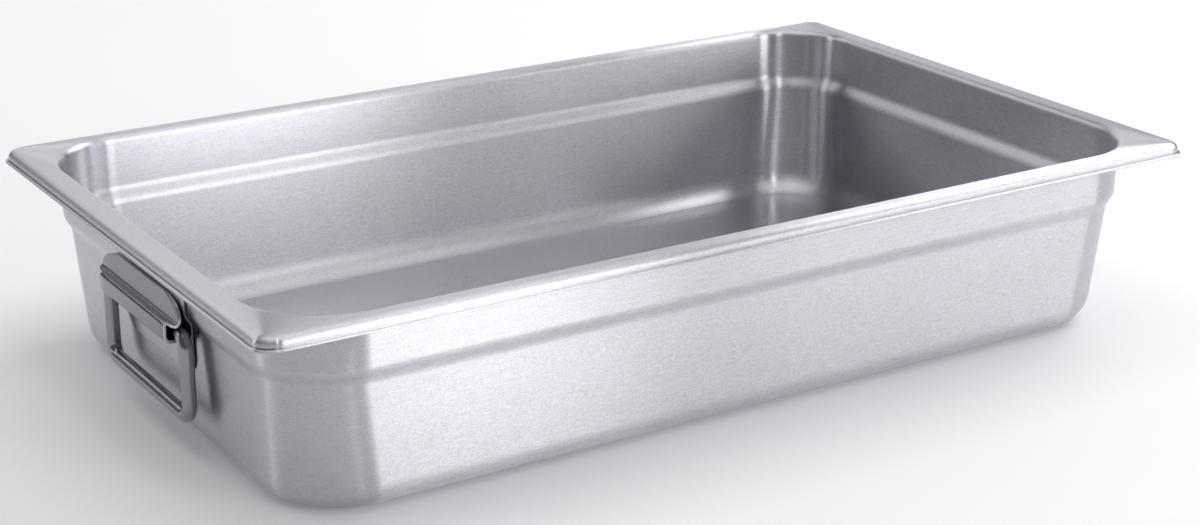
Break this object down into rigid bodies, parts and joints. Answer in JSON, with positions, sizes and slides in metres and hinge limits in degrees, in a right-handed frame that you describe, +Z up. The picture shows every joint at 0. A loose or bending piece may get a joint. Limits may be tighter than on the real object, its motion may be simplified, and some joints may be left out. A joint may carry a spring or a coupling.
{
  "type": "deli food pan",
  "caption": "Deep rectangular stainless steel food pan with a flat flanged rim, stacking shoulder and a hinged drop handle at each short end, for deli and butcher counters.",
  "frame": {"origin": "centre of the base's underside, which is the bottom centre of the bounding box", "axes": "+X along the pan towards the right-hand short end, +Y across it, +Z up; the pictured handle is at the -X end"},
  "size_m": [0.53, 0.325, 0.1],
  "materials": {
    "pan_sheet": "fine brushed",
    "plate_sheet": "fine brushed",
    "hood_sheet": "polished, rounded by tumbling",
    "bail_rod": "drawn round rod"
  },
  "bodies": {
    "pan": {"pan_body": "pan_sheet", "left_back_plate": "plate_sheet", "left_hinge_hood": "hood_sheet", "right_back_plate": "plate_sheet", "right_hinge_hood": "hood_sheet"},
    "left_bail": {"left_bail_handle": "bail_rod"},
    "right_bail": {"right_bail_handle": "bail_rod"}
  },
  "joints": [
    {"name": "left_bail_hinge", "type": "hinge", "parent": "pan", "child": "left_bail", "pos_m": [-0.2511, 0, 0.062], "axis": [0, 1, 0], "range_deg": [-3, 90]},
    {"name": "right_bail_hinge", "type": "hinge", "parent": "pan", "child": "right_bail", "pos_m": [0.2511, 0, 0.062], "axis": [0, -1, 0], "range_deg": [-3, 90]}
  ]
}
